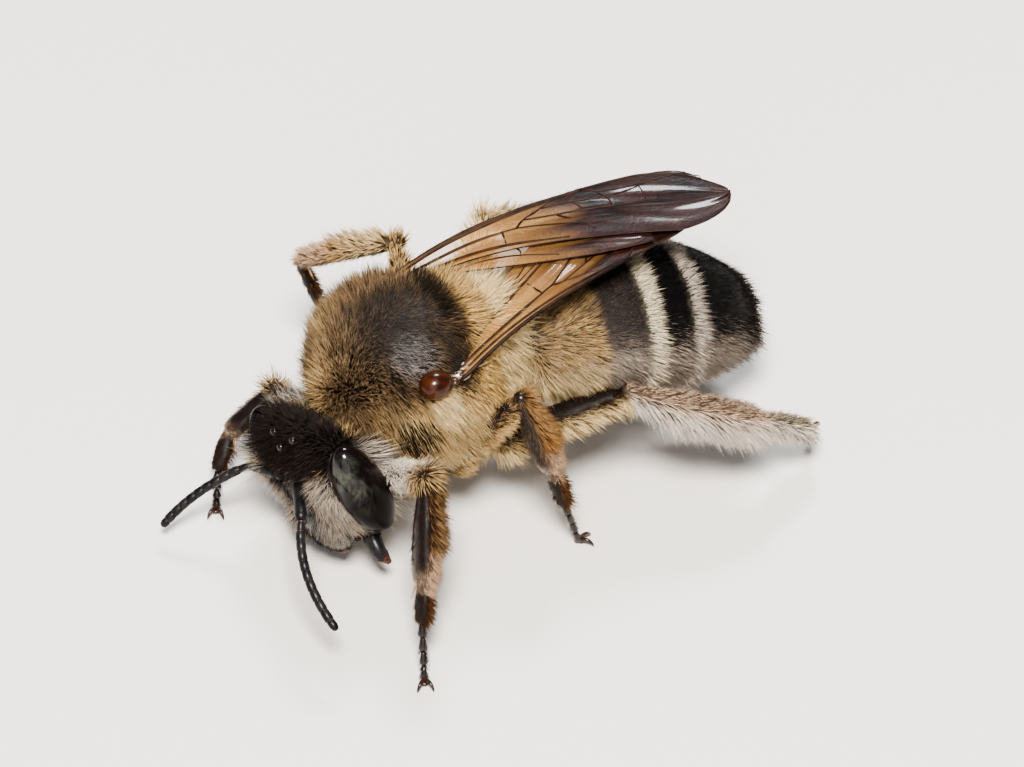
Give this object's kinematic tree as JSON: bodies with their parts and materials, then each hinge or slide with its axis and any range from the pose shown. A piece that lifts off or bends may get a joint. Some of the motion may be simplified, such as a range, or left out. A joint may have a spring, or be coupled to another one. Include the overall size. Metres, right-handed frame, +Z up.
{
  "type": "digger bee",
  "caption": "Furry digger bee standing with its wings folded over its back, head turned to its left, as a still life-size model.",
  "frame": {"origin": "on the floor under the middle of the model's box", "axes": "+Z up, the bee faces -Y, its left side towards +X"},
  "size_m": [0.0128, 0.0178, 0.0072],
  "materials": {
    "coat_fawn": "matt hair",
    "coat_cream": "matt hair",
    "coat_grey": "matt hair",
    "coat_black": "matt hair",
    "coat_brown": "matt hair",
    "shell_black": "glossy",
    "shell_amber": "glossy",
    "eye": "glossy",
    "wing": "glossy"
  },
  "bodies": {
    "root": {"head": "coat_black", "clypeus": "shell_black", "neck": "coat_black", "proboscis": "shell_amber", "thorax": "coat_fawn", "scutellum": "coat_cream", "abdomen_1": "coat_fawn", "abdomen_2": "coat_grey", "abdomen_3": "coat_black", "abdomen_4": "coat_black", "abdomen_5": "coat_black", "abdomen_6": "coat_brown", "eye_left": "eye", "mandible_left": "shell_black", "tegula_left": "shell_amber", "forewing_left": "wing", "hindwing_left": "wing", "scape_left": "shell_black", "flagellum_left": "shell_black", "eye_right": "eye", "mandible_right": "shell_black", "tegula_right": "shell_amber", "forewing_right": "wing", "hindwing_right": "wing", "scape_right": "shell_black", "flagellum_right": "shell_black", "femur_front_left": "coat_brown", "tibia_front_left": "coat_brown", "basitarsus_front_left": "coat_brown", "tarsus_front_left": "shell_black", "femur_front_right": "coat_brown", "tibia_front_right": "coat_brown", "basitarsus_front_right": "coat_brown", "tarsus_front_right": "shell_black", "femur_middle_left": "coat_brown", "tibia_middle_left": "coat_brown", "basitarsus_middle_left": "coat_brown", "tarsus_middle_left": "shell_black", "femur_middle_right": "coat_brown", "tibia_middle_right": "coat_brown", "basitarsus_middle_right": "coat_brown", "tarsus_middle_right": "shell_black", "femur_hind_left": "coat_brown", "tibia_hind_left": "coat_cream", "basitarsus_hind_left": "coat_brown", "tarsus_hind_left": "shell_black", "femur_hind_right": "coat_brown", "tibia_hind_right": "coat_cream", "basitarsus_hind_right": "coat_brown", "tarsus_hind_right": "shell_black"}
  },
  "joints": []
}
